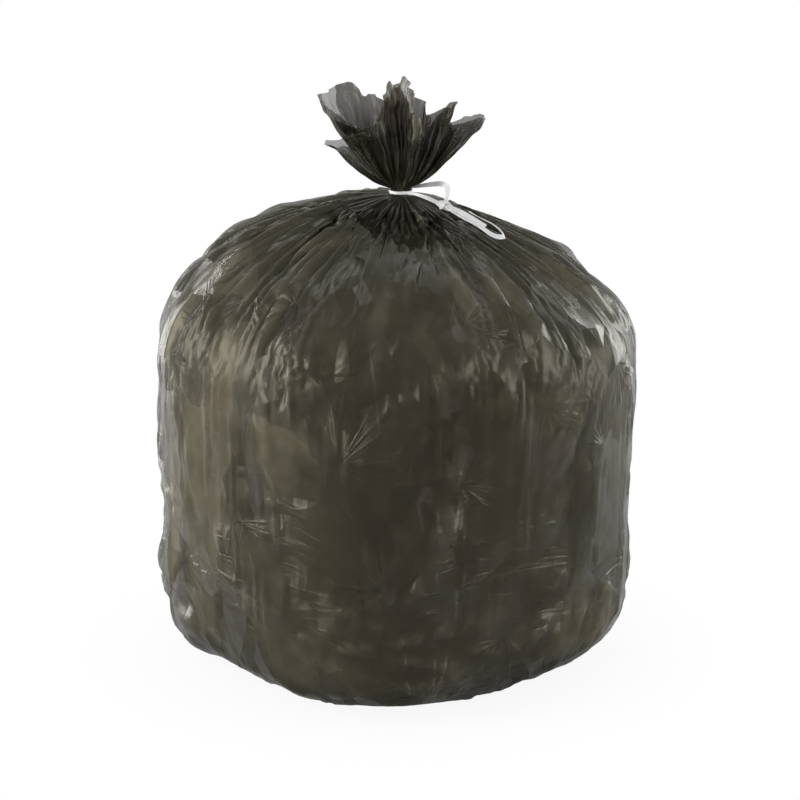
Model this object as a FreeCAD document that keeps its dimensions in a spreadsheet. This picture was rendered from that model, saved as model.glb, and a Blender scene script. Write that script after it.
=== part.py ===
# A filled bin bag of thin film, gathered at the neck and tied with a flat strip.
# +Z is up, and the origin is the middle of the flat spot that the bag stands on.
# The bag's front, where a corner of the filling pushes out, faces -Y.
import FreeCAD, Part
import math
import os

from FreeCAD import Vector

# Driving sizes in millimetres, unless the note says otherwise: alias, value, note
SIZES = [
    ("lay_flat_width", 630.0, "width of the empty bag laid flat"),
    ("neck_height", 410.0, "floor to the middle of the tie"),
    ("neck_offset", 5.0, "how far the neck lies to the right of the flat spot's middle"),
    ("shoulder_height", 262.0, "floor to where the film starts to turn in"),
    ("dome_fullness", 2.3, "ratio: how squarely the shoulder turns in"),
    ("dome_point", 1.12, "ratio: how sharply the dome rises to the neck"),
    ("shoulder_tilt", 8.0, "how far the left of the dome rises over the mean"),
    ("belly_swell", 3.0, "how far the side bulges between base and shoulder"),
    ("base_draw", 5.0, "how far the side draws in above the base"),
    ("base_turn_height", 56.0, "height of the turn under the bag"),
    ("base_turn_depth", 58.0, "how far the flat spot lies inside the side"),
    ("corner_push", 9.0, "how far the filling's corners push the base out"),
    ("front_push", 7.0, "how far the front corner goes beyond the others"),
    ("corner_turn", 96.0, "degrees: the front corner of the filling, from +X towards -Y"),
    ("gather_depth", 6.5, "height of a gathered fold over the mean film"),
    ("crumple_depth", 2.2, "height of the film's loose dents"),
    ("neck_radius", 9.0, "mean radius of the squeezed film under the tie"),
    ("neck_band", 6.0, "height of the squeezed stretch"),
    ("tuft_height", 96.0, "neck to the highest tip of the tuft"),
    ("tuft_reach", 76.0, "neck's axis to the furthest tip of the tuft"),
    ("petal_thickness", 5.0, "across one doubled fold of loose film"),
    ("tie_width", 4.5, "width of the flat strip"),
    ("tie_thickness", 0.7, "thickness of the flat strip"),
    ("tie_squeezed_width", 2.4, "width of the strip where it is pulled tight"),
    ("tie_clearance", 0.3, "room between the strip and the film"),
    ("tie_loop_rise", 13.0, "height of the slack loop over the film"),
]

# The loose folds of the tuft, anticlockwise from the right, seen from above:
# direction at the neck and at the tip in degrees, reach and rise as shares of the tuft's own
PETALS = [
    (8.0, 3.0, 0.99, 0.64),
    (38.0, 27.0, 0.78, 0.72),
    (68.0, 56.0, 0.62, 0.80),
    (99.0, 92.0, 0.34, 0.92),
    (130.0, 136.0, 0.60, 0.80),
    (160.0, 166.0, 1.00, 0.82),
    (188.0, 187.0, 0.90, 0.62),
    (214.0, 206.0, 0.82, 0.46),
    (243.0, 232.0, 0.56, 0.92),
    (270.0, 266.0, 0.40, 1.00),
    (300.0, 324.0, 0.80, 0.95),
    (331.0, 344.0, 0.86, 0.60),
]
COLUMNS_PER_PETAL = 8
# Where the columns on one side of a petal lie at the rim: share of its reach, share of its rise
PETAL_OUTLINE = [
    (0.20, 0.62),
    (0.48, 0.90),
    (0.80, 1.00),
    (1.00, 0.90),
]

doc = FreeCAD.newDocument("tied_bin_bag")


def make_sheet():
    """Writes the driving sizes into the document's spreadsheet and reads them back."""
    sheet = doc.addObject("Spreadsheet::Sheet", "Sizes")
    for row, (alias, value, note) in enumerate(SIZES, start=1):
        sheet.set(f"A{row}", str(value))
        sheet.setAlias(f"A{row}", alias)
        sheet.set(f"B{row}", note)
    doc.recompute()
    return sheet


sheet = make_sheet()
body_radius = sheet.lay_flat_width / math.pi
column_count = COLUMNS_PER_PETAL * len(PETALS)


def smooth(share):
    """0 at and below 0, 1 at and above 1, and an even S between."""
    share = max(0.0, min(1.0, share))
    return share * share * (3 - 2 * share)


def scatter(first, second=0):
    """An even spread of values from -1 to 1, the same ones each time."""
    wave = math.sin(first * 12.9898 + second * 78.233) * 43758.5453
    return 2 * (wave - math.floor(wave)) - 1


def polar(radius, angle, height):
    return Vector(radius * math.cos(angle), radius * math.sin(angle), height)


# The bag's outline, from the flat spot up to the neck


def dome_radius(drop):
    """Mean radius of the dome, at a share of the way down from the neck to the shoulder."""
    share = (1 - (1 - drop) ** sheet.dome_fullness) ** (1 / sheet.dome_point)
    return sheet.neck_radius + (body_radius - sheet.neck_radius) * share


def dome_drop(radius):
    """How far below the neck the mean dome lies, at a radius."""
    share = (radius - sheet.neck_radius) / (body_radius - sheet.neck_radius)
    share = max(0.0, min(1.0, share)) ** sheet.dome_point
    drop = 1 - (1 - share) ** (1 / sheet.dome_fullness)
    return drop * (sheet.neck_height - sheet.shoulder_height)


def side_radius(share):
    """Mean radius of the side, from the turn at the base, 0, to the shoulder, 1."""
    return (
        body_radius
        - sheet.base_draw * (1 - share)
        + sheet.belly_swell * math.sin(math.pi * share)
    )


def corner_push(angle, share):
    """How far the filling's corners push the film out; share is 1 at the base and 0 at the shoulder."""
    turn = angle + math.radians(sheet.corner_turn)
    front = max(0.0, -math.sin(angle))
    push = sheet.corner_push * math.cos(4 * turn) + sheet.front_push * front**3
    return push * (0.35 + 0.65 * share)


def column_angle(column):
    """Direction of a column of the film, whose folds are unevenly spaced."""
    uneven = 0.22 * scatter(column, 3)
    return 2 * math.pi * (column + uneven) / column_count


def gather_height(radius):
    """How high the gathered folds can stand at a radius: they need room to open."""
    room = min(1.0, (radius - sheet.neck_radius) / (8 * sheet.gather_depth))
    return sheet.gather_depth * (0.1 + 0.9 * room)


def dome_tilt(radius, angle):
    """How far the dome stands over its mean, as the filling leans to the left."""
    share = radius / body_radius
    return -sheet.shoulder_tilt * math.cos(angle) * 4 * share * (1 - 0.8 * share) * 0.8


def gather(column, drop):
    """Height of the folds at a column: ridge and valley by turns, each as long as it likes."""
    fold = (0.72 + 0.28 * scatter(column, 7)) * (-1) ** column
    reach = 0.72 + 0.36 * scatter(column // 2, 11)
    return gather_height(dome_radius(drop)) * fold * (1 - smooth(drop / reach))


def crumple(column, row):
    """The loose dents of the film between its folds."""
    angle = column_angle(column)
    wave = 0.45 * math.sin(5 * angle + 0.9 * row) + 0.25 * math.sin(9 * angle - 1.7 * row)
    return sheet.crumple_depth * (wave + 0.55 * scatter(column, row + 20))


def base_ring(row, rows):
    """A ring of the turn under the bag, from the flat spot outwards."""
    swing = 0.5 * math.pi * row / rows
    radius = side_radius(0) - sheet.base_turn_depth * (1 - math.sin(swing))
    height = sheet.base_turn_height * (1 - math.cos(swing))
    ring = []
    for column in range(column_count):
        angle = column_angle(column)
        out = radius + corner_push(angle, 1) * radius / body_radius
        out += row / rows * crumple(column, row)
        ring.append(polar(out, angle, height))
    return ring


def side_ring(row, rows):
    """A ring of the side, from the turn at the base up to the shoulder."""
    share = row / rows
    rise = sheet.shoulder_height - sheet.base_turn_height
    ring = []
    for column in range(column_count):
        angle = column_angle(column)
        out = side_radius(share) + corner_push(angle, 1 - share) + crumple(column, row + 10)
        height = sheet.base_turn_height + share * rise
        ring.append(polar(out, angle, height + smooth(share) * shoulder_lift(angle)))
    return ring


def shoulder_lift(angle):
    return dome_tilt(body_radius, angle)


def dome_ring(row, rows):
    """A ring of the dome, from the shoulder in to the neck, with the gathered folds."""
    drop = (1 - row / rows) ** 1.5
    top = sheet.neck_height - 0.5 * sheet.neck_band
    height = top - drop * (top - sheet.shoulder_height)
    radius = dome_radius(drop)
    ring = []
    for column in range(column_count):
        angle = column_angle(column)
        fold = gather(column, drop)
        out = radius + corner_push(angle, 0) * (radius / body_radius) ** 2
        out += 0.5 * fold + drop * crumple(column, row + 30)
        lift = dome_tilt(radius, angle) - dome_tilt(sheet.neck_radius, angle) * (1 - drop)
        ring.append(polar(out, angle, height + fold + lift))
    return ring


def body_rings():
    """Rings of points from the flat spot up to the squeezed neck."""
    base_rows, side_rows, dome_rows = 5, 9, 13
    rings = [base_ring(row, base_rows) for row in range(base_rows)]
    rings += [side_ring(row, side_rows) for row in range(side_rows)]
    rings += [dome_ring(row, dome_rows) for row in range(dome_rows)]
    return rings


def neck_rings():
    """The squeezed stretch under the tie: round, so that the strip seats on it."""
    low = sheet.neck_height - 0.5 * sheet.neck_band
    return [
        [
            polar(sheet.neck_radius, spread_angle(*divmod(column, COLUMNS_PER_PETAL)), height)
            for column in range(column_count)
        ]
        for height in (low, low + sheet.neck_band)
    ]


def spread_angle(petal, place):
    """Direction of a column before the film is folded: evenly over its petal's share of the neck."""
    before, here = PETALS[petal - 1][0], PETALS[petal][0]
    after = PETALS[(petal + 1) % len(PETALS)][0]
    low = here - 0.5 * ((here - before) % 360)
    high = here + 0.5 * ((after - here) % 360)
    half = 0.5 * COLUMNS_PER_PETAL
    share = (place + 0.5) / half
    if share < 1:
        return math.radians(low + share * (here - low))
    return math.radians(here + (share - 1) * (high - here))


def petal_point(petal, place, share):
    """A point of the loose film: share is 0 at the tie and 1 at the rim."""
    root, tip, reach, rise = PETALS[petal]
    on_left = place < COLUMNS_PER_PETAL // 2
    reach_share, rise_share = PETAL_OUTLINE[place if on_left else COLUMNS_PER_PETAL - 1 - place]
    rim_radius = reach * reach_share * sheet.tuft_reach
    rim_height = rise * rise_share * sheet.tuft_height
    rim_height *= 1 + 0.05 * scatter(COLUMNS_PER_PETAL * petal + place, 31)
    radius = sheet.neck_radius + (rim_radius - sheet.neck_radius) * share**0.7
    height = 0.5 * sheet.neck_band + (rim_height - 0.5 * sheet.neck_band) * share**1.1
    spread = spread_angle(petal, place)
    middle = math.radians(root)
    half = min(abs(spread - middle), 0.5 * sheet.petal_thickness / radius)
    folded = middle - half if on_left else middle + half
    curl = math.radians((tip - root + 180) % 360 - 180)
    curl *= smooth((radius - 1.3 * sheet.neck_radius) / (0.8 * sheet.tuft_reach))
    angle = spread + (folded - spread) * smooth(1.7 * share) + curl
    return polar(radius, angle, sheet.neck_height + height)


def tuft_rings():
    """The loose film over the tie: doubled folds that flare out of the neck."""
    rows = 7
    return [
        [
            petal_point(petal, place, row / rows)
            for petal in range(len(PETALS))
            for place in range(COLUMNS_PER_PETAL)
        ]
        for row in range(1, rows + 1)
    ]


def lean(point):
    """Moves a point of the dome or of what is over it to the right, in line with the neck."""
    rise = sheet.neck_height - sheet.shoulder_height
    share = smooth((point.z - sheet.shoulder_height) / rise)
    return point + Vector(sheet.neck_offset * share, 0, 0)


def net(rings, lowest, highest):
    """A closed solid of flat facets through the rings, capped at both ends round two points."""
    count = len(rings[0])
    points = [point for ring in rings for point in ring]
    facets = []
    for row in range(len(rings) - 1):
        for column in range(count):
            a = row * count + column
            b = row * count + (column + 1) % count
            c, d = a + count, b + count
            if (points[a] - points[d]).Length < (points[b] - points[c]).Length:
                facets += [(a, b, d), (a, d, c)]
            else:
                facets += [(a, b, c), (b, d, c)]
    last = (len(rings) - 1) * count
    bottom, top = len(points), len(points) + 1
    points += [lowest, highest]
    for column in range(count):
        after = (column + 1) % count
        facets += [(bottom, after, column), (top, last + column, last + after)]
    shell = Part.Shape()
    shell.makeShapeFromMesh((points, facets), 0.001)
    return Part.makeSolid(shell)


def make_bag():
    """The film with what it holds, from the flat spot to the loose rim, as one sealed solid."""
    bag = doc.addObject("Part::Feature", "Bag")
    bag.Label = "bag"
    rings = body_rings() + neck_rings() + tuft_rings()
    rings = [[lean(point) for point in ring] for ring in rings]
    middle = Vector(0, 0, sheet.neck_height + 0.36 * sheet.tuft_height)
    bag.Shape = net(rings, Vector(0, 0, 0), lean(middle))
    bag.Placement = FreeCAD.Placement()
    return bag


# The tie: a ring round the neck, and runs of strip that lie on the gathered folds


def film_top(x, y):
    """Height of the gathered folds' crests over the neck's middle, at a place by the neck's axis."""
    radius = math.hypot(x, y)
    tilt = max(0.0, dome_tilt(radius, math.atan2(y, x)))
    return gather_height(radius) + tilt - dome_drop(radius) - 0.5 * sheet.neck_band


def strip(name, stations):
    """A run of strip through its stations.

    Each station has x and y from the neck's axis, the height over the folds' crests,
    the width, the thickness and the roll in degrees, where 0 is flat and 90 on edge.
    """
    middles = [Vector(x, y, film_top(x, y) + up) for x, y, up, wide, thick, roll in stations]
    curve = Part.BSplineCurve()
    curve.interpolate(middles)
    spans = 4 * (len(stations) - 1)
    rings = []
    for step in range(spans + 1):
        station = min(step // 4, len(stations) - 2)
        share = step / 4 - station
        here, after = stations[station][3:], stations[station + 1][3:]
        wide, thick, roll = (a + share * (b - a) for a, b in zip(here, after))
        at = curve.FirstParameter + step / spans * (curve.LastParameter - curve.FirstParameter)
        along = curve.tangent(at)[0]
        flat = Vector(-along.y, along.x, 0).normalize()
        up = along.cross(flat)
        turn = math.radians(roll)
        width = (flat * math.cos(turn) + up * math.sin(turn)) * 0.5 * wide
        depth = along.cross(width).normalize() * 0.5 * thick
        centre = curve.value(at) + neck_centre()
        rings.append([centre + width - depth, centre + width + depth,
                      centre - width + depth, centre - width - depth])
    ends = [sum(rings[at], Vector()) * 0.25 for at in (0, -1)]
    run = doc.addObject("Part::Feature", name)
    run.Shape = net(rings, *ends)
    return run


def neck_centre():
    return Vector(sheet.neck_offset, 0, sheet.neck_height)


def make_ring():
    """The strip's tight turn round the neck."""
    wall = [("TieInside", "Sizes.neck_radius + Sizes.tie_clearance")]
    wall.append(("TieOutside", wall[0][1] + " + Sizes.tie_thickness"))
    made = []
    for name, radius in wall:
        cylinder = doc.addObject("Part::Cylinder", name)
        cylinder.setExpression("Radius", radius)
        cylinder.setExpression("Height", "Sizes.tie_squeezed_width")
        cylinder.setExpression("Placement.Base.x", "Sizes.neck_offset")
        cylinder.setExpression(
            "Placement.Base.z", "Sizes.neck_height - 0.5 * Sizes.tie_squeezed_width"
        )
        made.append(cylinder)
    ring = doc.addObject("Part::Cut", "TieRing")
    ring.Base, ring.Tool = made[1], made[0]
    return ring


def make_tie():
    """The flat strip: ring, front run, slack loop, knot and two tails, as one solid."""
    wide, thick = sheet.tie_width, sheet.tie_thickness
    tight, loop = sheet.tie_squeezed_width, sheet.tie_loop_rise
    seat = sheet.neck_radius + sheet.tie_clearance + 0.5 * thick
    level = -film_top(seat, 0)
    front_run = [
        (-1.0, -seat, level, tight, thick, 90),
        (10.0, -1.15 * seat, 3.0, tight, thick, 75),
        (22.0, -18.0, 3.0, 0.8 * wide, thick, 30),
        (34.0, -28.5, 3.4, 0.9 * wide, 1.4 * thick, 10),
    ]
    slack_loop = [
        (-1.0, seat, level, tight, thick, 90),
        (11.0, 0.9 * seat, 0.35 * loop, tight, thick, 80),
        (22.0, 6.0, 0.62 * loop, 0.8 * wide, thick, 65),
        (32.0, 3.0, 0.88 * loop, wide, thick, 60),
        (38.5, -6.0, loop, wide, thick, 55),
        (40.0, -17.0, 0.8 * loop, wide, thick, 40),
        (37.5, -28.0, 0.35 * loop, wide, 1.4 * thick, 15),
    ]
    knot_core = [
        (31.0, -26.0, 3.0, 0.9 * wide, 2.6 * thick, 20),
        (35.5, -30.0, 3.6, 1.5 * wide, 5.5 * thick, 25),
        (39.0, -32.5, 3.5, 1.3 * wide, 5.0 * thick, 25),
        (45.0, -36.0, 2.6, 0.9 * wide, 2.6 * thick, 15),
    ]
    knot_wrap = [
        (41.5, -26.5, 1.6, 0.8 * wide, 1.4 * thick, 0),
        (39.5, -28.5, 5.4, wide, 1.4 * thick, 0),
        (37.0, -31.0, 6.4, wide, 1.4 * thick, 0),
        (35.0, -33.5, 5.0, wide, 1.4 * thick, 0),
        (34.5, -35.5, 1.6, 0.8 * wide, 1.4 * thick, 0),
    ]
    short_tail = [
        (41.0, -33.5, 3.4, wide, 1.4 * thick, 20),
        (50.0, -38.5, 3.6, wide, thick, 30),
        (60.0, -43.5, 3.2, wide, thick, 35),
        (71.0, -49.0, 2.4, wide, thick, 35),
    ]
    long_tail = [
        (41.0, -34.0, 2.6, wide, thick, 10),
        (54.0, -43.5, 1.3, wide, thick, 5),
        (70.0, -52.0, 1.3, wide, thick, 5),
        (82.0, -57.0, 1.6, wide, thick, 15),
        (86.5, -55.5, 3.0, wide, thick, 60),
        (84.0, -50.5, 4.4, wide, thick, 40),
        (72.0, -40.5, 4.0, wide, thick, 25),
        (58.0, -31.0, 3.0, wide, thick, 20),
    ]
    tie = doc.addObject("Part::MultiFuse", "Tie")
    tie.Label = "tie_strip"
    tie.Shapes = [
        make_ring(),
        strip("FrontRun", front_run),
        strip("SlackLoop", slack_loop),
        strip("KnotCore", knot_core),
        strip("KnotWrap", knot_wrap),
        strip("ShortTail", short_tail),
        strip("LongTail", long_tail),
    ]
    tie.Placement = FreeCAD.Placement()
    return tie


def check_all():
    """Stops the build where an object failed or a shape is empty or unsound."""
    for thing in doc.Objects:
        if "Invalid" in thing.State or "Error" in thing.State:
            raise RuntimeError(thing.Name + " did not recompute")
        if hasattr(thing, "Shape") and (thing.Shape.isNull() or not thing.Shape.isValid()):
            raise RuntimeError(thing.Name + " has no sound shape")


def export(part):
    """Writes one sub-part to a file of its own, after a look that it is one solid."""
    if len(part.Shape.Solids) != 1:
        raise RuntimeError(f"{part.Label} has {len(part.Shape.Solids)} solids")
    part.Shape.exportStep(f"parts/{part.Label}.step")


bag = make_bag()
tie = make_tie()
doc.recompute()
check_all()
os.makedirs("parts", exist_ok=True)
export(bag)
export(tie)
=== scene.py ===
"""A filled bin bag of thin smoke-coloured film, tied with a white flat strip."""

import math

import bpy
import numpy as np
from bpy.props import FloatProperty, FloatVectorProperty, IntProperty, PointerProperty
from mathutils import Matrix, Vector, noise


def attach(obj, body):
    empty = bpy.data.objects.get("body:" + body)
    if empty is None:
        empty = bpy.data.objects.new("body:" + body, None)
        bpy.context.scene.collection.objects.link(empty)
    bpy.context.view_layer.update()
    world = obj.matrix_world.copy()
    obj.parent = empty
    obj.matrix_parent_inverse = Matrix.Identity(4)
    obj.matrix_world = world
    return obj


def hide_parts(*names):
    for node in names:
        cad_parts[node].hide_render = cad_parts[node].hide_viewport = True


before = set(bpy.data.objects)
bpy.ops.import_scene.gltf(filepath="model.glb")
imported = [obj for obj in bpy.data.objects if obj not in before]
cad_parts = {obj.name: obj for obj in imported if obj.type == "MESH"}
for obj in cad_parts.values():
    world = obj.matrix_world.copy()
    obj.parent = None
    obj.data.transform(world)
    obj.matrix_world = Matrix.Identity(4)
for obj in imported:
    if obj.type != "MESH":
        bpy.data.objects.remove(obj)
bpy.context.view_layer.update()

bl_info = {
    "name": "Tied bin bag",
    "version": (1, 0, 0),
    "blender": (4, 5, 0),
    "location": "3D View > Sidebar > Bin bag",
    "description": "Makes a filled and tied bin bag of translucent film",
    "category": "Object",
}


# Settings that a user would change


class FilmSettings(bpy.types.PropertyGroup):
    body_radius: FloatProperty(
        name="Body radius", description="Mean radius of the filled body",
        default=0.2005, unit="LENGTH")
    neck_height: FloatProperty(
        name="Neck height", description="Floor to the middle of the tie",
        default=0.410, unit="LENGTH")
    shoulder_height: FloatProperty(
        name="Shoulder height", description="Floor to where the film turns in",
        default=0.262, unit="LENGTH")
    neck_radius: FloatProperty(
        name="Neck radius", description="Radius of the squeezed film under the tie",
        default=0.009, unit="LENGTH")
    neck_offset: FloatProperty(
        name="Neck offset", description="How far the neck lies to the right",
        default=0.005, unit="LENGTH")
    columns: IntProperty(
        name="Columns", description="Points round the film before it is subdivided", default=300)
    gathers: IntProperty(
        name="Gathers", description="Folds that run out of the neck", default=50)
    gather_depth: FloatProperty(
        name="Gather depth", description="Height of a gathered fold",
        default=0.0055, unit="LENGTH")
    slack: FloatProperty(
        name="Slack", description="Share of spare film that crumples", default=0.022)
    crease: FloatProperty(
        name="Crease", description="Depth of the creases, 1 as made", default=1.0)
    colour: FloatVectorProperty(
        name="Colour", description="Colour of the film itself", subtype="COLOR",
        default=(0.0115, 0.0102, 0.0054))
    # Pale end of the film's colour: its streaks, and painted highlights on crests, fold lines and
    # wrinkles
    pale_and_highlight: FloatVectorProperty(
        name="Haze", description="Colour of film that stands clear of what is inside",
        subtype="COLOR", default=(0.127, 0.118, 0.087))
    tuft: FloatVectorProperty(
        name="Tuft", description="Colour of the thin film over the tie", subtype="COLOR",
        default=(0.062, 0.044, 0.03))
    cover: FloatProperty(
        name="Cover", description="Share of what is behind that one layer hides",
        subtype="FACTOR", default=0.66)


class FillingSettings(bpy.types.PropertyGroup):
    gap: FloatProperty(
        name="Gap", description="Room between the filling and the film at the side",
        default=0.005, unit="LENGTH")
    lump: FloatProperty(
        name="Lump", description="Height of the filling's lumps", default=0.005, unit="LENGTH")
    dark: FloatVectorProperty(
        name="Dark", description="Darkest of the filling", subtype="COLOR",
        default=(0.09, 0.075, 0.04))
    pale: FloatVectorProperty(
        name="Pale", description="Palest of the filling", subtype="COLOR",
        default=(0.36, 0.315, 0.19))
    # The filling's colour is darkest round this point at the front
    dark_middle: FloatVectorProperty(
        name="Dark lump", description="Middle of the darkest contents", subtype="XYZ",
        unit="LENGTH", default=(0.075, -0.15, 0.215))


class TieSettings(bpy.types.PropertyGroup):
    colour: FloatVectorProperty(
        name="Colour", description="Colour of the strip", subtype="COLOR",
        default=(0.82, 0.82, 0.82))


class StageSettings(bpy.types.PropertyGroup):
    elevation: FloatProperty(
        name="Elevation", description="Camera above the horizon, in degrees", default=16.0)
    distance: FloatProperty(
        name="Distance", description="Camera to the bag's neck", default=2.6, unit="LENGTH")
    lens: FloatProperty(
        name="Lens", description="Focal length in millimetres", default=136.9)


# Shapes


def smooth(share):
    share = np.clip(share, 0, 1)
    return share * share * (3 - 2 * share)


def spread(count, seed, low=0.0, high=1.0):
    """Random values between low and high, the same ones each time."""
    return np.random.default_rng(seed).uniform(low, high, count)


def round_wave(turn, values):
    """A smooth closed curve through evenly spaced values, read at turn (0 to 1 once round)."""
    count = len(values)
    at = (turn % 1.0) * count
    low = np.floor(at).astype(int) % count
    part = at - np.floor(at)
    part = part * part * (3 - 2 * part)
    return values[low] * (1 - part) + values[(low + 1) % count] * part


def facets(across, along, cells, seed):
    """Flat triangles between random heights from -1 to 1, as creased film has them."""
    sway = 0.35 * np.sin(1.7 * along + 3.1 * seed) + 0.2 * np.sin(4.3 * along + seed)
    across = (across * cells + sway + 0.5 * smooth(0.5 + 0.5 * np.sin(2.3 * along))) % cells
    along = along + 0.4 * np.sin(2 * np.pi * across / cells * 3 + seed)
    along = along + 0.25 * np.sin(2 * np.pi * across / cells * 11 + 2 * seed) + 50
    column, row = np.floor(across).astype(int), np.floor(along).astype(int)
    a, b = across - column, along - row
    heights = spread((cells, 101), seed, -1, 1)
    turned = spread((cells, 101), seed + 50) > 0.5
    column, row = column % cells, row % 101
    beside, above = (column + 1) % cells, (row + 1) % 101
    flip = turned[column, row]
    a = np.where(flip, 1 - a, a)
    near, far = np.where(flip, beside, column), np.where(flip, column, beside)
    h00, h10 = heights[near, row], heights[far, row]
    h01, h11 = heights[near, above], heights[far, above]
    first = h00 + a * (h10 - h00) + b * (h01 - h00)
    second = h11 + (1 - a) * (h01 - h11) + (1 - b) * (h10 - h11)
    return np.where(a + b < 1, first, second)


def outward(grid):
    """Unit directions out of a closed net of points."""
    across = np.roll(grid, -1, 1) - np.roll(grid, 1, 1)
    along = np.gradient(grid, axis=0)
    away = np.cross(across, along)
    return away / np.maximum(np.linalg.norm(away, axis=2, keepdims=True), 1e-12)


# Depth in metres, slant, height of one facet in metres, facets once round, seed and where
CREASES = (
    (0.0026, 0.0, 0.095, 17, 3, "flank"),
    (0.0020, 0.5, 0.040, 33, 11, "more_below"),
    (0.0022, -0.7, 0.024, 21, 14, "below"),
    (0.0016, -0.2, 0.060, 51, 17, "all_over"),
    (0.0034, 0.1, 0.150, 31, 37, "upper"),
    (0.0007, 0.1, 0.030, 97, 23, "all_over"),
)
DEEPEST_CREASE, RAISED_DOME = 0.0022, 0.0025


def creased(film, grid, share=1.0):
    """The body's film with flat-sided creases: upright ones above, slanting ones below."""
    turn = np.broadcast_to(np.arange(grid.shape[1]) / grid.shape[1], grid.shape[:2])
    steps = np.linalg.norm(np.diff(grid, axis=0), axis=2).mean(1)
    climb = np.concatenate([[0], np.cumsum(steps)])[:, None] * np.ones(grid.shape[:2])
    high = climb / climb.max()
    reach = np.hypot(grid[..., 0], grid[..., 1])
    flank = np.abs(grid[..., 0]) / np.maximum(reach, 1e-6)
    on_side = smooth(climb / 0.12 - 0.6)
    room = smooth((reach - 0.05) / 0.10) * on_side
    below = 1 - smooth((high - 0.42) / 0.16)
    where = {
        "all_over": 1.0,
        "flank": 0.6 + 0.8 * flank ** 6,
        "below": below,
        "more_below": 0.35 + 0.65 * below,
        "upper": smooth((high - 0.34) / 0.12) * (1 - smooth((high - 0.72) / 0.16)),
    }
    deep = sum(depth * facets(turn + slant * climb, climb / tall, cells, seed) * where[part]
               for depth, slant, tall, cells, seed, part in CREASES)
    at_base = 1 - smooth(climb / 0.1 - 1.2)
    over = smooth((high - 0.5) / 0.1) * (1 - smooth((high - 0.8) / 0.15))
    deep = deep * (1 + 0.5 * at_base) + RAISED_DOME * over
    deep = np.maximum(deep, -DEEPEST_CREASE + DEEPEST_CREASE * over)
    return grid + outward(grid) * (deep * room * share * film.crease)[..., None]


def dome_radius(film, drop):
    """The dome's profile, drop being 0 at the neck and 1 at the shoulder."""
    share = (1 - (1 - drop) ** 2.3) ** (1 / 1.12)
    return film.neck_radius + (film.body_radius - film.neck_radius) * share


def dome_tilt(film, radius, angle):
    """The dome hangs a little lower on the right than on the left."""
    share = radius / film.body_radius
    return -0.008 * np.cos(angle) * 3.2 * share * (1 - 0.8 * share)


def corner_push(angle, low):
    """How far the filling's corners push the film out, low being 1 at the base."""
    front = np.maximum(0, -np.sin(angle))
    push = 0.009 * np.cos(4 * (angle + math.radians(96))) + 0.007 * front ** 3
    return push * (0.35 + 0.65 * low)


def side_radius(film, share):
    """The side's profile, share being 0 at the base and 1 at the shoulder."""
    return film.body_radius - 0.005 * (1 - share) + 0.003 * np.sin(np.pi * share)


def lean(film, points):
    """Shifts the upper part to the right, to where the neck lies."""
    start = film.shoulder_height - 0.1
    share = smooth((points[..., 2] - start) / (film.neck_height - start))
    points[..., 0] += film.neck_offset * share
    return points


# The lobes and hollows of the tuft's rim, once round from the left front:
# direction in degrees, radius and height over the neck in millimetres
TUFT_RIM = [
    (-166, 38, 40), (-158, 66, 44), (-146, 66, 50), (-140, 48, 62), (-128, 40, 70),
    (-134, 30, 74), (-132, 22, 88), (-125, 17, 96), (-108, 12, 92), (-90, 12, 95),
    (-71, 15, 80), (-60, 30, 68), (-50, 36, 72), (-42, 30, 60), (-30, 44, 76),
    (-22, 54, 83), (-16, 52, 79), (-12, 36, 58), (-8, 66, 69), (-1, 71, 60),
    (8, 68, 63), (12, 44, 56), (24, 52, 70), (36, 46, 66), (48, 30, 58),
    (60, 44, 66), (70, 36, 72), (68, 17, 88), (86, 13, 93), (100, 19, 82),
    (104, 32, 66), (116, 40, 74), (124, 54, 74), (136, 58, 82), (146, 66, 82),
    (154, 70, 80), (166, 72, 76), (174, 60, 68), (180, 44, 56), (186, 52, 62),
    (190, 30, 46),
]
# How far the rim starts before the body's rows, in degrees, and its small folds in metres
TUFT_START, TUFT_FOLDS, TUFT_FOLD_DEPTH, RUFFLE_DEPTH, CRUMPLE = 166, 31, 0.0032, 0.0016, 0.0065
# Rows of points in each part of the film, from the floor up
BASE_ROWS, TURN_ROWS, SIDE_ROWS, DOME_ROWS, TUFT_ROWS = 5, 10, 34, 46, 34
# The turn from the floor to the side, and half the height of the neck under the tie, in metres
FLOOR_LIFT, TURN_WIDTH, TURN_TOP, TURN_RISE = 0.0006, 0.058, 0.056, 0.0554
HALF_TIE = 0.003


def gather_pattern(film, turn):
    """Wave, length and lean of the gathered folds round the film."""
    uneven = 0.010 * np.sin(2 * np.pi * (3 * turn + 0.2))
    uneven = uneven + 0.006 * np.sin(2 * np.pi * (8 * turn))
    phase = film.gathers * (turn + uneven)
    crest = 1 - np.abs(np.sin(np.pi * phase)) ** 0.8
    size = round_wave(turn, spread(film.gathers, 4, 0.3, 1.25))
    size = size * round_wave(turn + 0.03, spread(13, 6, 0.5, 1.35))
    length = round_wave(turn + 0.01, spread(film.gathers, 9, 0.4, 1.2))
    length = length * (1 + 0.35 * np.abs(np.cos(2 * np.pi * turn)))
    return phase, (2 * crest - 0.8) * size, length


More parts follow.
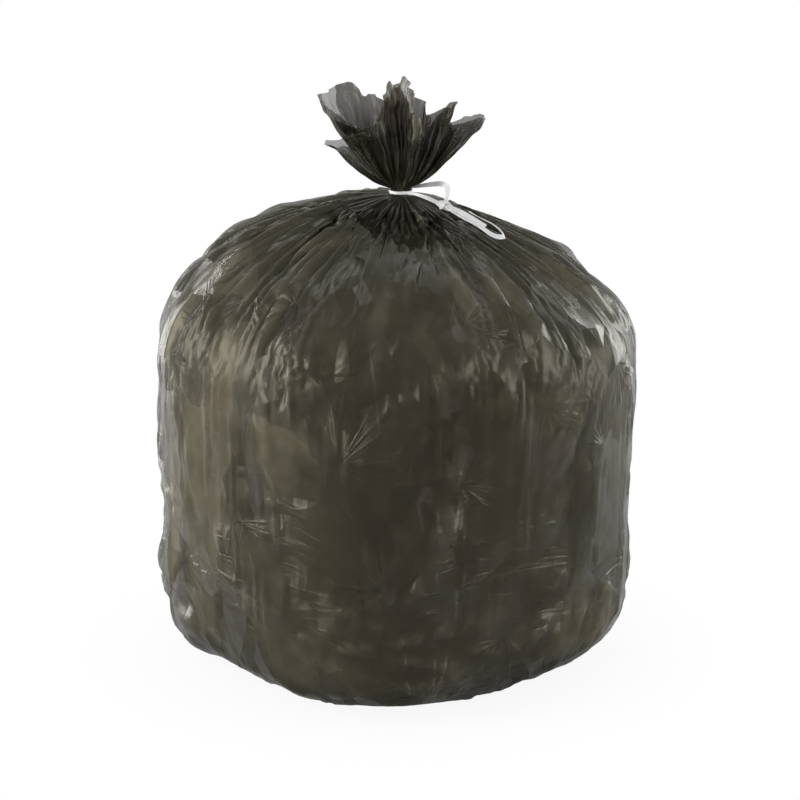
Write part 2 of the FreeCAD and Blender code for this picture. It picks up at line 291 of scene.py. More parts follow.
def dome_row(film, turn, row, gathered):
    """One row of the dome, row 0 lying at the shoulder, with its gathered folds or without."""
    drop = (1 - row / DOME_ROWS) ** 1.5
    top = film.neck_height - HALF_TIE
    phase, crest, length = gather_pattern(film, turn)
    radius = dome_radius(film, drop)
    room = min(1.0, (radius - film.neck_radius) / (8 * film.gather_depth))
    fade = (1 - smooth(drop ** 0.8 / length)) * gathered
    fold = film.gather_depth * (0.06 + 0.94 * room) * crest * fade
    over = gathered * 1.5 * (1 - smooth(drop / 0.22)) + 0.5 * fade * (1 - drop)
    sway = round_wave(turn, spread(14, 21, -1, 1)) * 0.10 * smooth(drop / 0.4)
    angle = 2 * np.pi * turn + over * np.sin(2 * np.pi * phase) / film.gathers + sway * fade
    out = radius + corner_push(angle, 0) * (radius / film.body_radius) ** 2 + 0.45 * fold
    height = top - drop * (top - film.shoulder_height) + fold
    height = height + dome_tilt(film, radius, angle)
    height = height - dome_tilt(film, film.neck_radius, angle) * (1 - drop)
    return np.stack([out * np.cos(angle), out * np.sin(angle), height], -1)


def body_rows(film, turn, gathered=True):
    """The film from the flat spot up to the neck, as rows of points."""
    rows = []
    angle = 2 * np.pi * turn
    flat = side_radius(film, 0) - TURN_WIDTH
    for row in range(1, BASE_ROWS + 1):
        out = (flat + corner_push(angle, 1) * 0.7) * row / BASE_ROWS
        rows.append((out, np.full_like(out, FLOOR_LIFT)))
    for row in range(1, TURN_ROWS + 1):
        swing = 0.5 * math.pi * row / TURN_ROWS
        radius = flat + TURN_WIDTH * math.sin(swing)
        out = radius + corner_push(angle, 1) * radius / film.body_radius
        rows.append((out, np.full_like(out, FLOOR_LIFT + TURN_RISE * (1 - math.cos(swing)))))
    for row in range(1, SIDE_ROWS):
        share = row / SIDE_ROWS
        out = side_radius(film, share) + corner_push(angle, 1 - share)
        height = TURN_TOP + share * (film.shoulder_height - TURN_TOP)
        rows.append((out, height + smooth(share) * dome_tilt(film, film.body_radius, angle)))
    made = [np.stack([out * np.cos(angle), out * np.sin(angle), high], -1) for out, high in rows]
    made += [dome_row(film, turn, row, gathered) for row in range(DOME_ROWS)]
    return made


def tuft_rim(turn):
    """The rim's points, smoothly through the lobes and hollows, evenly spaced along it."""
    table = np.array(TUFT_RIM, float)
    table[:, 0] = np.radians(table[:, 0])
    corners = np.stack([table[:, 1] * np.cos(table[:, 0]), table[:, 1] * np.sin(table[:, 0]),
                        table[:, 2]], -1) / 1000
    fine = np.arange(2000) / 2000 * len(corners)
    low = np.floor(fine).astype(int)
    part = (fine - low)[:, None]
    p0, p1, p2, p3 = (corners[(low + step) % len(corners)] for step in (-1, 0, 1, 2))
    path = 0.5 * (2 * p1 + (p2 - p0) * part + (2 * p0 - 5 * p1 + 4 * p2 - p3) * part ** 2
                  + (3 * p1 - p0 - 3 * p2 + p3) * part ** 3)
    closed = np.concatenate([path, path[:1]])
    length = np.concatenate([[0], np.cumsum(np.linalg.norm(np.diff(closed, axis=0), axis=1))])
    ask = turn * length[-1]
    return np.stack([np.interp(ask, length, closed[:, axis]) for axis in range(3)], -1)


def noise_push(place):
    """A push that changes smoothly from place to place, up to 1 along each axis."""
    apart = Vector((9.3, 1.5, 7.9))
    return np.array([noise.noise(place + apart * (axis + 1)) for axis in range(3)])


def tuft_rows(film, turn):
    """The loose film over the tie, from the neck out to its ruffled rim."""
    rim = tuft_rim(turn)
    root = 2 * np.pi * turn - math.radians(TUFT_START)
    phase = TUFT_FOLDS * turn + 0.5 * np.sin(2 * np.pi * 3 * turn)
    phase = phase + 0.35 * np.sin(2 * np.pi * 7 * turn)
    size = round_wave(turn, spread(TUFT_FOLDS, 33, 0.3, 1.3))
    made = []
    for low in (-HALF_TIE, HALF_TIE):
        angle = root + 1.5 * np.sin(2 * np.pi * phase) / TUFT_FOLDS
        made.append(np.stack([film.neck_radius * np.cos(angle), film.neck_radius * np.sin(angle),
                              np.full_like(turn, film.neck_height + low)], -1))
    start = np.stack([film.neck_radius * np.cos(root), film.neck_radius * np.sin(root),
                      np.full_like(turn, HALF_TIE)], -1)
    side = np.roll(rim, -2, 0) - np.roll(rim, 2, 0)
    away = np.stack([side[:, 1], -side[:, 0], 0.3 * side[:, 0]], -1)
    away /= np.maximum(np.linalg.norm(away, axis=1, keepdims=True), 1e-9)
    for row in range(1, TUFT_ROWS + 1):
        share = row / TUFT_ROWS
        row_points = start + (rim - start) * np.array([share ** 0.8, share ** 0.8, share ** 1.06])
        wave = np.cos(2 * np.pi * phase + 2.5 * share)
        deep = TUFT_FOLD_DEPTH * size * wave * smooth(4 * share) * (1.1 - 0.3 * share)
        ripple = 2 * np.pi * (71 * turn + share) + 5 * np.sin(4 * np.pi * turn)
        ruffle = RUFFLE_DEPTH * share * np.sin(ripple)
        row_points = row_points + away * (deep + ruffle)[:, None]
        row_points[:, 2] += film.neck_height
        for point in row_points:
            where = Vector(point)
            bend = noise_push(where * 30) + 0.5 * noise_push(where * 75)
            point += bend * CRUMPLE * share ** 1.3
        made.append(row_points)
    return made


def grid_mesh(name, rows, centre=None):
    """A mesh through closed rows of points, and a fan to the centre where there is one."""
    count = len(rows[0])
    points = np.concatenate(rows)
    faces = []
    for row in range(len(rows) - 1):
        for column in range(count):
            a, b = row * count + column, row * count + (column + 1) % count
            faces.append((a, b, b + count, a + count))
    if centre is not None:
        points = np.concatenate([points, [centre]])
        last = len(points) - 1
        faces += [(last, (column + 1) % count, column) for column in range(count)]
    mesh = bpy.data.meshes.new(name)
    mesh.from_pydata(points.tolist(), [], faces)
    piece = bpy.data.objects.new(name, mesh)
    bpy.context.scene.collection.objects.link(piece)
    return piece


def lay_flat_map(piece, count, rows, girth=1.26):
    """A UV map in metres of flat film: round the bag from the back, and up from the base."""
    mesh = piece.data
    length = np.concatenate([[0], np.cumsum([np.linalg.norm(b - a, axis=1).mean()
                                            for a, b in zip(rows, rows[1:])])])
    layer = mesh.uv_layers.new(name="flat_film")
    loops = np.zeros(len(mesh.loops), int)
    mesh.loops.foreach_get("vertex_index", loops)
    starts = np.zeros(len(mesh.polygons), int)
    totals = np.zeros(len(mesh.polygons), int)
    mesh.polygons.foreach_get("loop_start", starts)
    mesh.polygons.foreach_get("loop_total", totals)
    uv = np.zeros((len(loops), 2))
    row, column = loops // count, loops % count
    inside = row < len(rows)
    uv[:, 0] = np.where(inside, (column - count // 4) % count * girth / count, 0)
    uv[:, 1] = np.where(inside, length[np.minimum(row, len(rows) - 1)], 0)
    owner = np.repeat(np.arange(len(starts)), totals)
    widest = np.zeros(len(starts))
    np.maximum.at(widest, owner, uv[:, 0])
    wrap = (uv[:, 0] < 0.3) & (widest[owner] > 1.0)
    uv[wrap, 0] += girth
    layer.data.foreach_set("uv", uv.ravel())


def add_slack(film, piece, points):
    """A shape key with the film's true size, larger than the form it is hung in."""
    true_size = np.array(points) * (1 + 0.35 * film.slack)
    true_size[..., 2] *= 1 + 1.2 * film.slack
    piece.shape_key_add(name="start")
    key = piece.shape_key_add(name="true_size")
    key.data.foreach_set("co", true_size.ravel())
    return key


def let_it_fall(film, points, pinned, filling, steps):
    """Drapes the film over the filling with a cloth simulation and returns its points."""
    rows = len(points)
    count = len(points[0])
    cloth_piece = grid_mesh("falling_film", points)
    group = cloth_piece.vertex_groups.new(name="held")
    for weight in np.unique(pinned[pinned > 0]):
        members = np.nonzero(pinned == weight)[0].tolist()
        group.add(members, float(weight), "REPLACE")
    wall = filling.modifiers.new("wall", "COLLISION")
    filling.collision.thickness_outer = 0.0015
    filling.collision.cloth_friction = 15
    modifier = cloth_piece.modifiers.new("fall", "CLOTH")
    cloth = modifier.settings
    cloth.quality = 5
    cloth.mass = 0.02
    cloth.tension_stiffness = 20
    cloth.compression_stiffness = 20
    cloth.shear_stiffness = 8
    cloth.bending_stiffness = 0.3
    cloth.air_damping = 2
    cloth.vertex_group_mass = "held"
    cloth.rest_shape_key = add_slack(film, cloth_piece, points)
    cloth.use_pressure = True
    cloth.uniform_pressure_force = 0.3
    modifier.collision_settings.distance_min = 0.0015
    modifier.collision_settings.use_self_collision = False
    modifier.point_cache.frame_start = 1
    modifier.point_cache.frame_end = steps
    for step in range(1, steps + 1):
        bpy.context.scene.frame_set(step)
    shown = cloth_piece.evaluated_get(bpy.context.evaluated_depsgraph_get())
    flat = np.zeros(len(shown.data.vertices) * 3, np.float32)
    shown.data.vertices.foreach_get("co", flat)
    fallen = flat.reshape(rows, count, 3).astype(float)
    bpy.context.scene.frame_set(1)
    mesh = cloth_piece.data
    bpy.data.objects.remove(cloth_piece)
    bpy.data.meshes.remove(mesh)
    filling.modifiers.remove(wall)
    return fallen


def halfway(values, axis, closed):
    """Smooth points halfway between neighbours along an axis, and the points themselves."""
    if closed:
        before, after = np.roll(values, 1, axis), np.roll(values, -1, axis)
        beyond = np.roll(values, -2, axis)
    else:
        count = values.shape[axis]
        at = np.arange(count)
        before = np.take(values, np.maximum(at - 1, 0), axis)
        after = np.take(values, np.minimum(at + 1, count - 1), axis)
        beyond = np.take(values, np.minimum(at + 2, count - 1), axis)
    middle = (9 * (values + after) - before - beyond) / 16
    both = np.stack([values, middle], axis + 1)
    shape = list(values.shape)
    shape[axis] *= 2
    both = both.reshape(shape)
    if closed:
        return both
    return np.take(both, np.arange(shape[axis] - 1), axis)


def store(piece, name, values, rest):
    """Keeps one value for each point as an attribute, and the rest value for any more points."""
    values = np.append(values.ravel(), np.full(len(piece.data.vertices) - values.size, rest))
    attribute = piece.data.attributes.new(name, "FLOAT", "POINT")
    attribute.data.foreach_set("value", values)


def mark_layers(piece, grid, film):
    """Stores how many layers of film lie together, which is the spare width gathered there."""
    width = 2 * math.pi * film.body_radius * 1.01 / grid.shape[1]
    step = np.linalg.norm(np.roll(grid, -1, 1) - grid, axis=2)
    for blur in range(5):
        step = (step + np.roll(step, 1, 1) + np.roll(step, -1, 1)) / 3
    layers = np.clip(1.6 * width / np.maximum(step, 1e-6) - 0.6, 1, 14)
    share = np.linspace(0, 1, 2 * TUFT_ROWS)[:, None]
    layers[-len(share):] = 1.3 + (layers[-len(share):] - 1) * (1 - share) ** 1.3
    layers += 2 * (1 - smooth(grid[..., 2] / 0.03))
    store(piece, "layers", layers, 1)
    return layers


def blurred(grid, reach):
    """The net with each point moved to the middle of its neighbours, reach steps each way."""
    wide = sum(np.roll(grid, step, 1) for step in range(-reach, reach + 1)) / (2 * reach + 1)
    rows = np.arange(len(grid))
    tall = sum(wide[np.clip(rows + step, 0, len(grid) - 1)] for step in range(-reach, reach + 1))
    return tall / (2 * reach + 1)


def mark_painted_crest_light(piece, grid, form, layers):
    """Stores how far the film rises over the film round it, from 0 in a hollow to 1, for painted
    crest light.
    """
    body = len(form)
    away = outward(grid)[:body]
    wide = (grid - blurred(grid, 9))[:body] - (form - blurred(form, 9))
    close = (grid - blurred(grid, 3))[:body] - (form - blurred(form, 3))
    rise = 0.5 * (wide * away).sum(2) / 0.0034 + 0.3 * (close * away).sum(2) / 0.0011
    painted_crest_light = np.full(grid.shape[:2], 0.3)
    painted_crest_light[:body] = np.clip(0.5 + rise, 0, 1)
    # The material turns the film pale with this value: painted highlight on crests, painted shade
    # in hollows and gathers.
    store(piece, "painted_crest_light", painted_crest_light / np.clip(layers, 1, 4) ** 0.8, 0)


def drape(film, body, filling, cap=0.009, steps=20):
    """The body's rows, let fall on the filling, no point of them further than cap."""
    first, last = BASE_ROWS, len(body) - 6
    part = np.array(body[first:last])
    distance = np.hypot(part[..., 0] - film.neck_offset, part[..., 1])
    held = 1 - smooth((distance - 0.035) / 0.07)
    held[part[..., 2] < film.shoulder_height] = 0
    held = np.round(held * 0.8, 1)
    held[[0, -1]] = 1.0
    moved = let_it_fall(film, list(part), held.ravel(), filling, steps) - part
    far = np.linalg.norm(moved, axis=-1, keepdims=True)
    moved = moved * np.minimum(1, cap / np.maximum(far, 1e-9))
    for row in range(first, last):
        body[row] = part[row - first] + moved[row - first]
        body[row][:, 2] = np.maximum(body[row][:, 2], FLOOR_LIFT)
    return body


def make_film(film, filling, crease_again=0.6):
    """The film: draped over the filling, made finer, creased once more and marked."""
    turn = np.arange(film.columns) / film.columns
    body = [lean(film, row) for row in creased(film, np.array(body_rows(film, turn)))]
    tuft = [lean(film, row) for row in tuft_rows(film, (turn + TUFT_START / 360) % 1.0)]
    body = drape(film, body, filling)
    grid = halfway(halfway(np.array(body + tuft), 1, True), 0, False)
    fine = 2 * len(body) - 1
    grid[:fine] = creased(film, grid[:fine], crease_again)
    grid[:fine, :, 2] = np.maximum(grid[:fine, :, 2], FLOOR_LIFT)
    piece = grid_mesh("film_bag", list(grid), centre=(0, 0, FLOOR_LIFT))
    lay_flat_map(piece, grid.shape[1], list(grid))
    layers = mark_layers(piece, grid, film)
    form = lean(film, np.array(body_rows(film, turn, gathered=False)))
    form = halfway(halfway(form, 1, True), 0, False)
    mark_painted_crest_light(piece, grid, form, layers)
    piece.data.shade_smooth()
    return piece


def make_filling(film, settings, lift=0.003):
    """The loose filling: the bag's form, further in and lumpy, which carries the film."""
    turn = np.arange(144) / 144
    form = body_rows(film, turn, gathered=False)
    grid = np.array([form[row] for row in range(BASE_ROWS - 1, len(form) - 8, 2)])
    out = np.hypot(grid[..., 0], grid[..., 1])
    rise = np.gradient(grid[..., 2], axis=0)
    run = np.gradient(out, axis=0)
    size = np.maximum(np.hypot(rise, run), 1e-9)
    near_neck = smooth(1 - (out - 0.03) / 0.12) * (grid[..., 2] > film.shoulder_height)
    for row in range(grid.shape[0]):
        for column in range(grid.shape[1]):
            x, y, z = grid[row, column]
            lump = noise.fractal(Vector((x, y, z)) * 13, 0.9, 2.2, 3)
            lump += 0.5 * noise.noise(Vector((x, y, z)) * 31 + Vector((5, 2, 8)))
            away = np.array([x * rise[row, column], y * rise[row, column],
                             -run[row, column] * out[row, column]])
            away /= max(out[row, column], 1e-6) * size[row, column]
            over = smooth((z - film.shoulder_height + 0.08) / 0.13)
            inward = settings.gap * (0.3 + 0.7 * min(1, z / 0.13)) - settings.lump * 0.8 * lump
            inward += 0.003 * near_neck[row, column] - 0.005 * over
            nearest = 0.0034 - 0.0022 * over
            point = grid[row, column] - away * max(inward, nearest)
            point[2] = max(point[2], lift)
            grid[row, column] = point
    grid = lean(film, grid)
    top = grid[-1].mean(0)
    shrunk = [top + (grid[-1] - top) * share for share in (0.66, 0.33, 0.02)]
    piece = grid_mesh("filling", list(grid) + shrunk, centre=(0, 0, lift))
    piece.data.shade_smooth()
    return piece


# Materials


def new_material(name):
    """A material with nodes, its node tree and its shader."""
    material = bpy.data.materials.new(name)
    material.use_nodes = True
    tree = material.node_tree
    return material, tree, tree.nodes["Principled BSDF"]


def add_node(tree, kind, source=None, **values):
    """A node whose attributes and inputs take the values by name, and Vector the source."""
    node = tree.nodes.new(kind)
    for key, value in values.items():
        if hasattr(node, key):
            setattr(node, key, value)
        else:
            node.inputs[key].default_value = value
    if source is not None:
        tree.links.new(source, node.inputs["Vector"])
    return node


def math_node(tree, kind, operation, parts):
    """A math node that is fed with sockets and plain values, in their order."""
    node = add_node(tree, kind, operation=operation)
    for place, part in enumerate(parts):
        if isinstance(part, bpy.types.NodeSocket):
            tree.links.new(part, node.inputs[place])
        else:
            node.inputs[place].default_value = part
    return node


def number(tree, operation, *parts):
    """The number that a math operation gives."""
    return math_node(tree, "ShaderNodeMath", operation, parts).outputs["Value"]


def vector(tree, operation, *parts):
    """The vector that a vector operation gives."""
    return math_node(tree, "ShaderNodeVectorMath", operation, parts).outputs["Vector"]


def measure(tree, operation, *parts):
    """The number that a vector operation gives, such as a length."""
    return math_node(tree, "ShaderNodeVectorMath", operation, parts).outputs["Value"]


def ranged(tree, value, start, end, low=0.0, high=1.0, kind="SMOOTHSTEP"):
    """A value that goes from low at start to high at end."""
    node = add_node(tree, "ShaderNodeMapRange", interpolation_type=kind)
    for place, part in enumerate((value, start, end, low, high)):
        if place == 0:
            tree.links.new(part, node.inputs[place])
        else:
            node.inputs[place].default_value = part
    return node.outputs["Result"]


def noise_node(tree, source, scale, detail, roughness=0.5):
    """Noise over the source's coordinates."""
    return add_node(tree, "ShaderNodeTexNoise", source, Scale=scale, Detail=detail,
                    Roughness=roughness)


def stretched(tree, source, scale, turn=(0, 0, 0)):
    """Coordinates scaled one way more than the other, for a pattern of long cells."""
    node = add_node(tree, "ShaderNodeMapping", source, Rotation=turn, Scale=scale)
    return node.outputs["Vector"]


def weighted(tree, parts):
    """The sum of values, each times its weight."""
    total = 0.0
    for value, weight in parts:
        total = number(tree, "MULTIPLY_ADD", value, weight, total)
    return total


def grey_of(tree, colour):
    """How bright a colour is."""
    node = add_node(tree, "ShaderNodeRGBToBW")
    tree.links.new(colour, node.inputs["Color"])
    return node.outputs["Val"]


def coloured(tree, value, stops):
    """A colour that follows a value through stops of position and colour."""
    ramp = add_node(tree, "ShaderNodeValToRGB")
    elements = ramp.color_ramp.elements
    elements[0].position, elements[1].position = stops[0][0], stops[-1][0]
    for position, colour in stops[1:-1]:
        elements.new(position)
    for element, (position, colour) in zip(elements, stops):
        element.color = (*colour, 1)
    tree.links.new(value, ramp.inputs["Fac"])
    return ramp.outputs["Color"]


def bumped(tree, height, shader, strength, distance):
    """Lets the shader's surface follow a height."""
    bump = add_node(tree, "ShaderNodeBump", Strength=strength, Distance=distance)
    tree.links.new(height, bump.inputs["Height"])
    tree.links.new(bump.outputs["Normal"], shader.inputs["Normal"])


def flat_facets(tree, source, scale, turn):
    """Flat pieces of film with straight edges, each tilted its own way, as a height."""
    place = stretched(tree, source, scale, turn)
    cell = add_node(tree, "ShaderNodeTexVoronoi", place, Scale=1.0).outputs
    off = vector(tree, "SUBTRACT", place, cell["Position"])
    tilt = vector(tree, "SUBTRACT", cell["Color"], (0.5, 0.5, 0.5))
    return measure(tree, "DOT_PRODUCT", off, tilt)


def fan_of_wrinkles(tree, flat, density, lines):
    """Fine wrinkles that radiate to one side from scattered pinched points of the film."""
    pinch = add_node(tree, "ShaderNodeTexVoronoi", flat, voronoi_dimensions="2D",
                     Scale=density).outputs
    aim = vector(tree, "NORMALIZE", vector(tree, "SUBTRACT", flat, pinch["Position"]))
    apart = vector(tree, "MULTIPLY", pinch["Color"], (40, 40, 40))
    spun = vector(tree, "MULTIPLY_ADD", aim, (lines, lines, lines), apart)
    sharp = ranged(tree, noise_node(tree, spun, 1.0, 2.0, 0.6).outputs["Fac"], 0.46, 0.72)
    fade = ranged(tree, pinch["Distance"], 0.06, 0.65, 1.0, 0.0)
    ahead = vector(tree, "SUBTRACT", pinch["Color"], (0.5, 0.5, 0.5))
    sector = ranged(tree, measure(tree, "DOT_PRODUCT", ahead, aim), 0.0, 0.28)
    return number(tree, "MULTIPLY", number(tree, "MULTIPLY", sharp, fade), sector)


def see_through(tree, film, layers, patches):
    """The share that the film hides, by how many layers of it lie there."""
    folded = ranged(tree, patches, 0.25, 0.8, 0.8, 1.6, "LINEAR")
    doubled = number(tree, "MULTIPLY", layers, folded)
    return number(tree, "SUBTRACT", 1.0, number(tree, "POWER", 1 - film.cover, doubled))


def level_wrinkles(tree, film, bent, height, here):
    """Long level wrinkles under the shoulder, in some places."""
    place = stretched(tree, bent, (11, 11, 120), (0.2, 0.12, 0))
    crisp = ranged(tree, noise_node(tree, place, 1.0, 3.0, 0.55).outputs["Fac"], 0.44, 0.72)
    under = ranged(tree, height, film.shoulder_height - 0.09, film.shoulder_height, 1.0, 0.0)
    return number(tree, "MULTIPLY", number(tree, "MULTIPLY", crisp, here), under)


def fold_highlight_lines(tree, flat, here):
    """Thin pale lines along the folds, in some places: painted highlights."""
    ridge = add_node(tree, "ShaderNodeTexVoronoi", stretched(tree, flat, (26, 5, 1)),
                     voronoi_dimensions="2D", feature="DISTANCE_TO_EDGE", Scale=1.0)
    line = ranged(tree, ridge.outputs["Distance"], 0.0, 0.045, 1.0, 0.0)
    return number(tree, "MULTIPLY", line, here)


def film_material(film):
    """Smoke-coloured film, with painted shade where it is gathered and painted highlights on its
    crests, fold lines and wrinkles.
    """
    material, tree, shader = new_material("smoke_film")
    shader.inputs["Roughness"].default_value = 0.31
    shader.inputs["Specular IOR Level"].default_value = 0.4
    shader.inputs["Specular Tint"].default_value = (0.98, 0.93, 0.73, 1)

    layers = add_node(tree, "ShaderNodeAttribute", attribute_name="layers").outputs["Fac"]
    painted_crest_light = add_node(tree, "ShaderNodeAttribute", attribute_name="painted_crest_light").outputs["Fac"]
    flat = add_node(tree, "ShaderNodeUVMap", uv_map="flat_film").outputs["UV"]
    place = add_node(tree, "ShaderNodeTexCoord").outputs["Object"]
    height = add_node(tree, "ShaderNodeSeparateXYZ", place).outputs["Z"]
    bend = noise_node(tree, place, 7.0, 2.0).outputs["Color"]
    bent = vector(tree, "MULTIPLY_ADD", bend, (0.05, 0.05, 0.05), place)

    long_cells = stretched(tree, bent, (19, 19, 8), (0.3, 0.45, 0))
    patch = add_node(tree, "ShaderNodeTexVoronoi", long_cells, distance="MANHATTAN", Scale=1.0)
    grey = grey_of(tree, patch.outputs["Color"])
    tree.links.new(see_through(tree, film, layers, grey), shader.inputs["Alpha"])

    streak = noise_node(tree, stretched(tree, flat, (240, 9, 1)), 1.0, 3.0, 0.6).outputs["Fac"]
    pucker = noise_node(tree, place, 70.0, 3.0, 0.55).outputs["Fac"]
    here = ranged(tree, noise_node(tree, place, 14.0, 2.0).outputs["Fac"], 0.45, 0.62,
                  kind="LINEAR")
    level = level_wrinkles(tree, film, bent, height, here)
    fan = fan_of_wrinkles(tree, flat, 10.0, 5.0)
    relief = weighted(tree, (
        (flat_facets(tree, bent, (24, 24, 10), (0.35, 0.3, 0)), 4.5),
        (flat_facets(tree, bent, (44, 44, 26), (0.2, 0.9, 0.4)), 2.0),
        (streak, 0.05), (level, 0.22), (pucker, 0.07), (fan, 0.4)))
    bumped(tree, relief, shader, 0.8, 0.006)

    tone_and_painted_light = weighted(tree, (
        # pale fold lines and crests are painted highlights; streaks and cell greys are the film's
        # own tone
        (fold_highlight_lines(tree, flat, here), 0.22), (streak, 0.24), (grey, -0.12), (painted_crest_light, 0.55),
        # more layers darker is painted shade in the gathers and along the base; paler level and
        # fan wrinkles are painted highlights
        (layers, -0.075), (level, 0.14), (fan, 0.24)))
    between = [0.8 * dark + 0.2 * pale for dark, pale in zip(film.colour, film.pale_and_highlight)]
    colour = coloured(tree, tone_and_painted_light, ((0.26, film.colour), (0.52, between), (0.84, film.pale_and_highlight)))
    above = ranged(tree, height, film.neck_height + 0.045, film.neck_height + 0.085, 0.0, 0.5,
                   "LINEAR")
    warm = add_node(tree, "ShaderNodeMix", data_type="RGBA")
    warm.inputs["B"].default_value = (*film.tuft, 1)
    tree.links.new(above, warm.inputs["Factor"])
    tree.links.new(colour, warm.inputs["A"])
    tree.links.new(warm.outputs["Result"], shader.inputs["Base Color"])
    return material


def filling_material(settings):
    """Loose mixed contents in dark and pale patches, darkest round one point at the front."""
    material, tree, shader = new_material("loose_filling")
    shader.inputs["Roughness"].default_value = 0.75
    place = add_node(tree, "ShaderNodeTexCoord").outputs["Object"]
    warp = noise_node(tree, place, 9.0, 3.0).outputs["Color"]
    shift = vector(tree, "MULTIPLY_ADD", warp, (0.09, 0.09, 0.09), place)
    patch = add_node(tree, "ShaderNodeTexVoronoi", shift, feature="SMOOTH_F1", Scale=17.0,
                     Smoothness=0.35)
    small = noise_node(tree, place, 38.0, 4.0, 0.6).outputs["Fac"]
    blend = weighted(tree, ((small, 0.6), (grey_of(tree, patch.outputs["Color"]), 0.45)))
    far = measure(tree, "DISTANCE", shift, tuple(settings.dark_middle))
    shade = number(tree, "ADD", blend, ranged(tree, far, 0.05, 0.22, -0.5, 0.08))
    colour = coloured(tree, shade, ((0.26, settings.dark), (0.75, settings.pale)))
    tree.links.new(colour, shader.inputs["Base Color"])
    return material


def strip_material(settings):
    """White plastic with a faint cloud and a fine grain."""
    material, tree, shader = new_material("white_strip")
    shader.inputs["Roughness"].default_value = 0.38
    place = add_node(tree, "ShaderNodeTexCoord").outputs["Object"]
    cloud = noise_node(tree, place, 140.0, 3.0, 0.6).outputs["Fac"]
    dull = [0.86 * part for part in settings.colour]
    colour = coloured(tree, cloud, ((0.3, dull), (0.65, settings.colour)))
    tree.links.new(colour, shader.inputs["Base Color"])
    bumped(tree, noise_node(tree, place, 900.0, 2.0).outputs["Fac"], shader, 0.3, 0.0003)
    return material


def floor_material():
    """White to the camera, but for the bag's own shadow."""
    material = bpy.data.materials.new("white_floor")
    material.use_nodes = True
    tree = material.node_tree
    tree.nodes.clear()
    out = add_node(tree, "ShaderNodeOutputMaterial")
    lit = add_node(tree, "ShaderNodeBsdfDiffuse", Color=(0.9, 0.9, 0.9, 1))
    glow = add_node(tree, "ShaderNodeEmission", Strength=1.0, Color=(1, 1, 1, 1))
    path = add_node(tree, "ShaderNodeLightPath")
    place = add_node(tree, "ShaderNodeTexCoord").outputs["Object"]
    fade = ranged(tree, measure(tree, "LENGTH", place), 0.16, 0.31, 0.91, 1.0)
    mix = add_node(tree, "ShaderNodeMixShader")
    seen = number(tree, "MULTIPLY", path.outputs["Is Camera Ray"], fade)
    tree.links.new(seen, mix.inputs[0])
    tree.links.new(lit.outputs["BSDF"], mix.inputs[1])
    tree.links.new(glow.outputs["Emission"], mix.inputs[2])
    tree.links.new(mix.outputs["Shader"], out.inputs["Surface"])
    return material


# Operators


class BINBAG_OT_bag(bpy.types.Operator):
    """Makes the filling and the film that hangs over it"""

    bl_idname = "binbag.bag"
    bl_label = "Make the bag"

    def execute(self, context):
        film = context.scene.binbag_film
        filling = make_filling(film, context.scene.binbag_filling)
        filling.data.materials.append(filling_material(context.scene.binbag_filling))
        bag = make_film(film, filling)
        bag.data.materials.append(film_material(film))
        for piece in (filling, bag):
            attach(piece, "root")
            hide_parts("bag")
        return {"FINISHED"}


class BINBAG_OT_tie(bpy.types.Operator):
    """Gives the tie its white plastic"""

    bl_idname = "binbag.tie"
    bl_label = "Finish the tie"

    def execute(self, context):
        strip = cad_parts["tie_strip"]
        material = strip_material(context.scene.binbag_tie)
        for slot in strip.material_slots:
            slot.material = material
        return {"FINISHED"}


class BINBAG_OT_stage(bpy.types.Operator):
    """Makes the floor, the lamps, the world and the camera"""

    bl_idname = "binbag.stage"
    bl_label = "Set the stage"

    def execute(self, context):
        settings = context.scene.binbag_stage
        bpy.ops.object.select_all(action="DESELECT")
        bpy.ops.mesh.primitive_plane_add(size=60, location=(0, 0, -0.0005))
        floor = context.object
        floor.name = "floor"
        floor.data.materials.append(floor_material())
        make_world(context.scene)
        for lamp in LAMPS:
            add_lamp(*lamp)
        add_camera(context.scene, settings)
        return {"FINISHED"}


# Name, place, height aimed at over the bag's middle, size and power in watts
LAMPS = (
    ("left_panel", (-1.9, -0.7, 0.8), 0.2, (0.9, 1.5), 40),
    ("right_panel", (1.9, -0.4, 0.75), 0.2, (0.8, 1.4), 19),
    ("front_panel", (-1.5, -2.2, 0.75), 0.2, (0.5, 0.9), 13),
    ("top_panel", (0.2, 1.3, 2.0), 0.3, (2.0, 1.2), 7),
    ("left_rim", (-1.3, 1.0, 0.4), 0.15, (0.5, 0.9), 12),
    ("right_rim", (1.3, 1.0, 0.4), 0.15, (0.4, 0.8), 9),
)


def make_world(scene, fill=0.3, seen=1.0):
    """A plain sky that is white to the camera, to gloss and to glass, and lights less."""
    world = bpy.data.worlds.new("studio")
    scene.world = world
    world.use_nodes = True
    tree = world.node_tree
    back = tree.nodes["Background"]
    back.inputs["Color"].default_value = (1, 1, 1, 1)
    path = add_node(tree, "ShaderNodeLightPath").outputs
    looks = number(tree, "MAXIMUM", path["Is Camera Ray"], path["Is Glossy Ray"])
    looks = number(tree, "MAXIMUM", looks, path["Is Transmission Ray"])
    level = ranged(tree, looks, 0.0, 1.0, fill, seen, "LINEAR")
    tree.links.new(level, back.inputs["Strength"])


def add_lamp(name, place, aim, size, power):
    """A rectangular lamp that looks at a height over the middle of the floor."""
    light = bpy.data.lights.new(name, "AREA")
    light.shape = "RECTANGLE"
    light.size, light.size_y = size
    light.energy = power
    lamp = bpy.data.objects.new(name, light)
    bpy.context.scene.collection.objects.link(lamp)
    lamp.location = place
    lamp.rotation_mode = "QUATERNION"
    lamp.rotation_quaternion = (Vector((0, 0, aim)) - Vector(place)).to_track_quat("-Z", "Y")


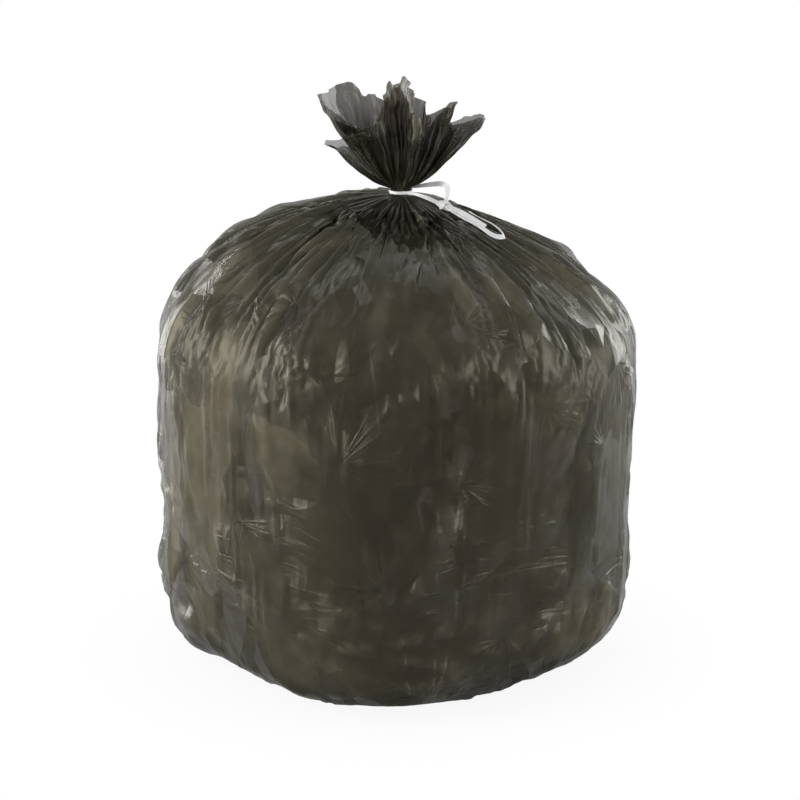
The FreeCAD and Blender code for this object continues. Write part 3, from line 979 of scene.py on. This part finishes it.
# The neck's place, and how far it stands over the picture's middle, in metres
NECK, NECK_OVER_MIDDLE = (0.0043, 0, 0.410), 0.1788


def add_camera(scene, settings):
    """The camera looks along +Y, and puts the neck where the photograph has it."""
    tip = math.radians(settings.elevation)
    forward = Vector((0, math.cos(tip), -math.sin(tip)))
    up = Vector((0, math.sin(tip), math.cos(tip)))
    target = Vector(NECK) - up * NECK_OVER_MIDDLE
    data = bpy.data.cameras.new("camera")
    data.lens = settings.lens
    camera = bpy.data.objects.new("camera", data)
    scene.collection.objects.link(camera)
    camera.location = target - forward * settings.distance
    camera.rotation_mode = "QUATERNION"
    camera.rotation_quaternion = forward.to_track_quat("-Z", "Y")
    scene.camera = camera
    scene.view_settings.view_transform = "Standard"


class BINBAG_PT_panel(bpy.types.Panel):
    bl_label = "Bin bag"
    bl_idname = "BINBAG_PT_panel"
    bl_space_type = "VIEW_3D"
    bl_region_type = "UI"
    bl_category = "Bin bag"

    def draw(self, context):
        layout = self.layout
        groups = (
            (BINBAG_OT_bag, (context.scene.binbag_film, context.scene.binbag_filling)),
            (BINBAG_OT_tie, (context.scene.binbag_tie,)),
            (BINBAG_OT_stage, (context.scene.binbag_stage,)),
        )
        for operator, settings in groups:
            box = layout.box()
            for group in settings:
                for name in group.__annotations__:
                    box.prop(group, name)
            box.operator(operator.bl_idname)


CLASSES = (
    FilmSettings, FillingSettings, TieSettings, StageSettings,
    BINBAG_OT_bag, BINBAG_OT_tie, BINBAG_OT_stage, BINBAG_PT_panel,
)
SETTINGS = (
    ("binbag_film", FilmSettings), ("binbag_filling", FillingSettings),
    ("binbag_tie", TieSettings), ("binbag_stage", StageSettings),
)


def register():
    for entry in CLASSES:
        bpy.utils.register_class(entry)
    for name, group in SETTINGS:
        setattr(bpy.types.Scene, name, PointerProperty(type=group))


def unregister():
    for name, group in SETTINGS:
        delattr(bpy.types.Scene, name)
    for entry in reversed(CLASSES):
        bpy.utils.unregister_class(entry)


def main():
    register()
    bpy.ops.binbag.stage()
    bpy.ops.binbag.bag()
    bpy.ops.binbag.tie()


if __name__ == "__main__":
    main()
